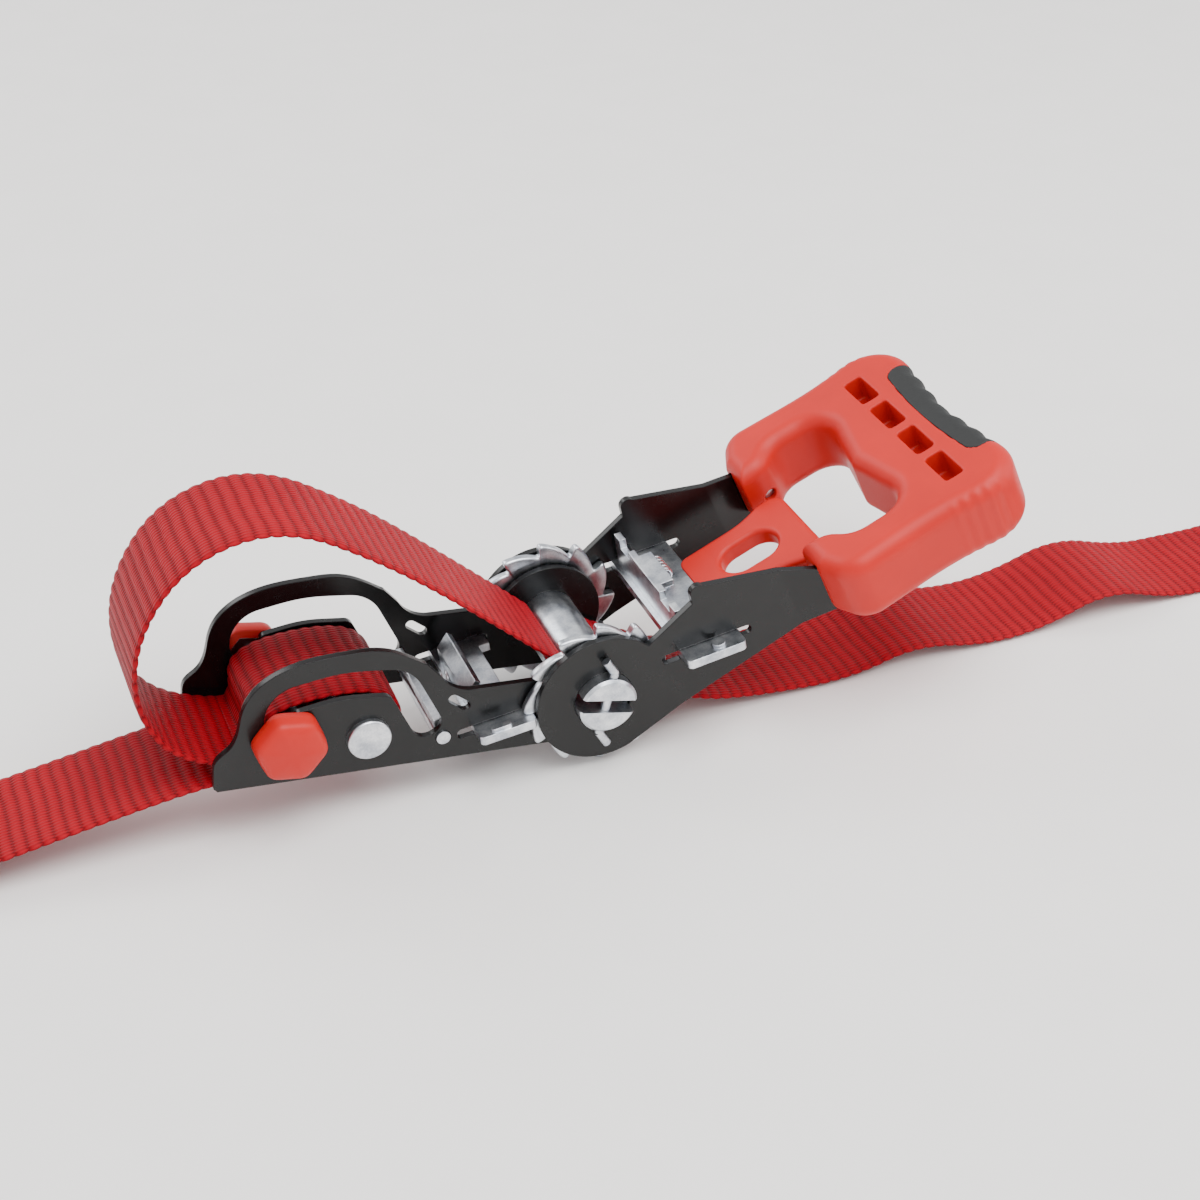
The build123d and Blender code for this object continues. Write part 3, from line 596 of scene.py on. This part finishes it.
def finger_ribs(out, y):
    """Fine ribs on the grip's two outer sides, fading out at both ends of the ribbed stretch."""
    rib_step, height = 2.7, 0.13
    fade = np.clip((out - 79) / 4, 0, 1) * np.clip((95 - out) / 4, 0, 1)
    fade = fade * np.clip((np.abs(y) - 28.5) / 1.5, 0, 1)
    return np.zeros_like(y), np.sign(y) * height * fade * np.sin(2 * math.pi * out / rib_step)


pad = moulded("scalloped_pad", "grip_pad", 0.28 * MM, scallops)
yoke = moulded("moulded_grip", "grip", 0.34 * MM, finger_ribs)


# ---- materials ----
def material(name):
    mat = bpy.data.materials.new(name)
    mat.use_nodes = True
    nodes, links = mat.node_tree.nodes, mat.node_tree.links
    return mat, nodes, links, nodes["Principled BSDF"]


def noise(nodes, links, vector, scale, detail=3.0, rough=0.55):
    node = nodes.new("ShaderNodeTexNoise")
    node.inputs["Scale"].default_value = scale
    node.inputs["Detail"].default_value = detail
    node.inputs["Roughness"].default_value = rough
    links.new(vector, node.inputs["Vector"])
    return node.outputs["Fac"]


def ramp(nodes, links, value, stops):
    node = nodes.new("ShaderNodeValToRGB")
    while len(node.color_ramp.elements) < len(stops):
        node.color_ramp.elements.new(0.5)
    for element, (at, colour) in zip(node.color_ramp.elements, stops):
        element.position = at
        element.color = (*colour, 1.0)
    links.new(value, node.inputs["Fac"])
    return node.outputs["Color"]


def spread(nodes, links, value, low, high):
    node = nodes.new("ShaderNodeMapRange")
    node.inputs["To Min"].default_value = low
    node.inputs["To Max"].default_value = high
    links.new(value, node.inputs["Value"])
    return node.outputs["Result"]


def maths(nodes, links, kind, first, second=None, third=None):
    node = nodes.new("ShaderNodeMath")
    node.operation = kind
    for socket, value in zip(node.inputs, (first, second, third)):
        if value is None:
            continue
        if isinstance(value, (int, float)):
            socket.default_value = value
        else:
            links.new(value, socket)
    return node.outputs["Value"]


def bump(nodes, links, height, strength, distance, normal=None):
    node = nodes.new("ShaderNodeBump")
    node.inputs["Strength"].default_value = strength
    node.inputs["Distance"].default_value = distance
    links.new(height, node.inputs["Height"])
    if normal is not None:
        links.new(normal, node.inputs["Normal"])
    return node.outputs["Normal"]


def bevel(nodes, radius):
    node = nodes.new("ShaderNodeBevel")
    node.samples = 6
    node.inputs["Radius"].default_value = radius
    return node.outputs["Normal"]


def place_of(nodes):
    return nodes.new("ShaderNodeTexCoord").outputs["Object"]


def webbing_material():
    mat, nodes, links, bsdf = material("red_webbing")
    read = nodes.new("ShaderNodeAttribute")
    read.attribute_name = "weave"
    split = nodes.new("ShaderNodeSeparateXYZ")
    links.new(read.outputs["Vector"], split.inputs["Vector"])
    across, along = split.outputs["X"], split.outputs["Y"]
    # lengthwise yarns: neighbours dip into the valleys at slightly different places, like a comb
    yarn_turn = maths(nodes, links, "MULTIPLY", across, 2 * math.pi / (0.9 * MM))
    yarn = maths(nodes, links, "MULTIPLY_ADD", maths(nodes, links, "SINE", yarn_turn), 0.5, 0.5)
    comb = maths(nodes, links, "ADD", along, maths(nodes, links, "MULTIPLY", yarn, 0.55 * MM))
    # ribs: 1 on a ridge, 0 in a valley
    rib_turn = maths(nodes, links, "MULTIPLY", comb, math.pi / RIB)
    rib = maths(nodes, links, "ABSOLUTE", maths(nodes, links, "SINE", rib_turn))
    fine = noise(nodes, links, read.outputs["Vector"], 5200.0, 2.0)
    blotch = noise(nodes, links, place_of(nodes), 60.0, 2.0)
    # painted shade: the colour darkens into the valleys between ribs and between neighbouring yarns, which leaves
    # the yarn tops as painted highlight dashes
    painted_shade = maths(nodes, links, "MULTIPLY", rib, maths(nodes, links, "MULTIPLY_ADD", yarn, 0.35, 0.65))
    colour = ramp(nodes, links, painted_shade, [
        (0.0, (0.10, 0.0002, 0.002)), (0.3, (0.25, 0.0004, 0.005)), (1.0, (0.39, 0.0005, 0.010)),
    ])
    tint = nodes.new("ShaderNodeMix")
    tint.data_type = "RGBA"
    tint.blend_type = "MULTIPLY"
    tint.inputs["Factor"].default_value = 1.0
    links.new(colour, tint.inputs["A"])
    worn = ramp(nodes, links, blotch, [(0.3, (0.86, 0.86, 0.86)), (0.7, (1.0, 1.0, 1.0))])
    links.new(worn, tint.inputs["B"])
    links.new(tint.outputs["Result"], bsdf.inputs["Base Color"])
    yarn_height = maths(nodes, links, "MULTIPLY", yarn, 0.8)
    fine_height = maths(nodes, links, "MULTIPLY", fine, 0.5)
    height = maths(nodes, links, "ADD", yarn_height, fine_height)
    links.new(bump(nodes, links, height, 0.8, 0.2 * MM), bsdf.inputs["Normal"])
    links.new(spread(nodes, links, fine, 0.46, 0.66), bsdf.inputs["Roughness"])
    bsdf.inputs["Specular IOR Level"].default_value = 0.22
    bsdf.inputs["Specular Tint"].default_value = (1.0, 0.45, 0.50, 1.0)
    bsdf.inputs["Sheen Weight"].default_value = 0.03
    bsdf.inputs["Sheen Roughness"].default_value = 0.4
    bsdf.inputs["Sheen Tint"].default_value = (1.0, 0.25, 0.35, 1.0)
    return mat


def zinc_material(name, dark, bright, low, high, edge=0.25 * MM):
    """Plated steel, patchy between two colours and two roughnesses, with edges rounded in its shading."""
    mat, nodes, links, bsdf = material(name)
    where = place_of(nodes)
    patch = noise(nodes, links, where, 260.0, 4.0, 0.62)
    grain = noise(nodes, links, where, 2600.0, 2.0)
    patch_part = maths(nodes, links, "MULTIPLY", patch, 0.8)
    grain_part = maths(nodes, links, "MULTIPLY", grain, 0.2)
    mixed = maths(nodes, links, "ADD", patch_part, grain_part)
    middle = tuple(0.5 * (d + b) for d, b in zip(dark, bright))
    colour = ramp(nodes, links, mixed, [(0.36, dark), (0.52, middle), (0.66, bright)])
    links.new(colour, bsdf.inputs["Base Color"])
    links.new(spread(nodes, links, mixed, low, high), bsdf.inputs["Roughness"])
    bsdf.inputs["Metallic"].default_value = 1.0
    links.new(bump(nodes, links, grain, 0.12, 0.05 * MM, bevel(nodes, edge)), bsdf.inputs["Normal"])
    return mat


def paint_material():
    mat, nodes, links, bsdf = material("black_paint")
    where = place_of(nodes)
    peel = noise(nodes, links, where, 900.0, 2.0)
    dust = noise(nodes, links, where, 220.0, 5.0, 0.7)
    colour = ramp(nodes, links, dust, [(0.4, (0.0035, 0.0037, 0.0038)), (0.75, (0.007, 0.0073, 0.0073))])
    links.new(colour, bsdf.inputs["Base Color"])
    links.new(spread(nodes, links, dust, 0.20, 0.32), bsdf.inputs["Roughness"])
    bsdf.inputs["Specular IOR Level"].default_value = 0.34
    links.new(bump(nodes, links, peel, 0.10, 0.06 * MM, bevel(nodes, 0.32 * MM)), bsdf.inputs["Normal"])
    return mat


def plastic_material(name, base, edge):
    mat, nodes, links, bsdf = material(name)
    where = place_of(nodes)
    cloud = noise(nodes, links, where, 70.0, 3.0)
    grain = noise(nodes, links, where, 3200.0, 2.0)
    darker = tuple(0.93 * c for c in base)
    lighter = tuple(min(1.0, 1.04 * c) for c in base)
    links.new(ramp(nodes, links, cloud, [(0.3, darker), (0.7, lighter)]), bsdf.inputs["Base Color"])
    links.new(spread(nodes, links, grain, 0.40, 0.52), bsdf.inputs["Roughness"])
    links.new(bump(nodes, links, grain, 0.10, 0.04 * MM, bevel(nodes, edge)), bsdf.inputs["Normal"])
    bsdf.inputs["Specular IOR Level"].default_value = 0.32
    bsdf.inputs["Subsurface Weight"].default_value = 0.10
    bsdf.inputs["Subsurface Scale"].default_value = 1.2 * MM
    bsdf.inputs["Subsurface Radius"].default_value = (1.0, 0.25, 0.15)
    return mat


def rubber_material():
    mat, nodes, links, bsdf = material("black_rubber")
    where = place_of(nodes)
    grain = noise(nodes, links, where, 1500.0, 3.0)
    colour = ramp(nodes, links, grain, [(0.3, (0.005, 0.0055, 0.0053)), (0.7, (0.011, 0.012, 0.0115))])
    links.new(colour, bsdf.inputs["Base Color"])
    links.new(spread(nodes, links, grain, 0.55, 0.75), bsdf.inputs["Roughness"])
    links.new(bump(nodes, links, grain, 0.35, 0.10 * MM, bevel(nodes, 0.4 * MM)), bsdf.inputs["Normal"])
    return mat


def thread_material():
    mat, nodes, links, bsdf = material("thread")
    twist = noise(nodes, links, place_of(nodes), 2400.0, 2.0)
    colour = ramp(nodes, links, twist, [(0.3, (0.30, 0.002, 0.006)), (0.7, (0.58, 0.008, 0.018))])
    links.new(colour, bsdf.inputs["Base Color"])
    links.new(spread(nodes, links, twist, 0.4, 0.6), bsdf.inputs["Roughness"])
    return mat


def floor_material():
    mat, nodes, links, bsdf = material("floor")
    speck = noise(nodes, links, place_of(nodes), 40.0, 3.0)
    colour = ramp(nodes, links, speck, [(0.3, (0.88, 0.86, 0.835)), (0.7, (0.90, 0.88, 0.855))])
    links.new(colour, bsdf.inputs["Base Color"])
    bsdf.inputs["Roughness"].default_value = 0.8
    return mat


looks = {
    "red_webbing": webbing_material(),
    "zinc_steel": zinc_material("zinc_steel", (0.42, 0.45, 0.50), (0.86, 0.88, 0.90), 0.20, 0.42),
    "spring_steel": zinc_material(
        "spring_steel", (0.40, 0.41, 0.43), (0.70, 0.70, 0.72), 0.25, 0.4, 0.05 * MM
    ),
    "black_paint": paint_material(),
    "red_plastic": plastic_material("red_plastic", (0.52, 0.009, 0.005), 0.35 * MM),
    "black_rubber": rubber_material(),
    "black_vinyl": plastic_material("black_vinyl", (0.02, 0.02, 0.021), 0.3 * MM),
}
thread = thread_material()

# ---- what each piece is made of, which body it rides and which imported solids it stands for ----
slot_of = {entry["node"]: entry["material_slot"] for entry in frame["record"]["subparts"]}
for name, node in frame["nodes"].items():
    node.data.materials.clear()
    node.data.materials.append(looks[slot_of[name]])

for piece in (
    strap_left, strap_loop, strap_wrap, strap_right, strap_spool, strap_entry, strap_exit,
    end_left, end_right,
):
    piece.data.materials.append(looks["red_webbing"])

for piece, node in ((wheel_near, "ratchet_wheel_near"), (wheel_far, "ratchet_wheel_far")):
    piece.data.materials.append(looks["zinc_steel"])
    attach(piece, "spool")
    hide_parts(node)

for piece, look, node in ((pad, "black_rubber", "grip_pad"), (yoke, "red_plastic", "grip")):
    piece.data.materials.clear()
    piece.data.materials.append(looks[look])
    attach(piece, "handle")
    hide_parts(node)

for piece in (cap_near, cap_far):
    piece.data.materials.append(looks["red_plastic"])
    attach(piece, "lock_bolt")
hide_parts("bolt_cap_near")
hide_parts("bolt_cap_far")

for piece in (hold_spring, drive_spring):
    piece.data.materials.append(looks["spring_steel"])
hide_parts("holding_pawl_spring")
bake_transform(hold_spring)
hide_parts("drive_pawl_spring")
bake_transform(drive_spring)

for piece, node in ((end_left, "sewn_end_left"), (end_right, "sewn_end_right")):
    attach(piece, "base")
    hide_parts(node)
for piece in (stitches_left, stitches_right):
    piece.data.materials.append(thread)
    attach(piece, "base")

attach(strap_left, "base")
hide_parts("strap_left")
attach(strap_loop, "base")
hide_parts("strap_loop")
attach(strap_right, "base")
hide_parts("strap_right", "strap_twist", "strap_coil")
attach(strap_spool, "spool")
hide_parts("strap_in_spool")
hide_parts("strap_wrap")
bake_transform(strap_wrap)
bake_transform(strap_entry)
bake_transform(strap_exit)

# A cord is declared at least six diameters long, which is a little more than the two short runs have.
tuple(left_route[0])
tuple(loop_route[0])
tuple(right_route[0])

# ---- floor and light ----
floor = new_mesh("floor", [(-6, -6, 0), (6, -6, 0), (6, 6, 0), (-6, 6, 0)], [(0, 1, 2, 3)], smooth=False)
floor.data.materials.append(floor_material())


def area_light(name, location, target, size, power, colour=(1, 1, 1)):
    light = bpy.data.lights.new(name, "AREA")
    light.shape = "RECTANGLE"
    light.size, light.size_y = size
    light.energy = power
    light.color = colour
    lamp = bpy.data.objects.new(name, light)
    lamp.location = location
    aim = Vector(target) - Vector(location)
    lamp.rotation_euler = aim.to_track_quat("-Z", "Y").to_euler()
    bpy.context.scene.collection.objects.link(lamp)


area_light("key", (0.15, -0.35, 1.1), (0, 0, 0), (0.9, 0.9), 17.0)
area_light("rim", (-0.7, 0.9, 0.8), (0, 0, 0.02), (1.0, 0.6), 8.0)
area_light("side", (1.0, -0.2, 0.6), (0, 0, 0.02), (0.6, 0.8), 4.0)
world = bpy.data.worlds.new("world")
world.use_nodes = True
world.node_tree.nodes["Background"].inputs["Color"].default_value = (0.93, 0.93, 0.95, 1)
world.node_tree.nodes["Background"].inputs["Strength"].default_value = 1.1
bpy.context.scene.world = world
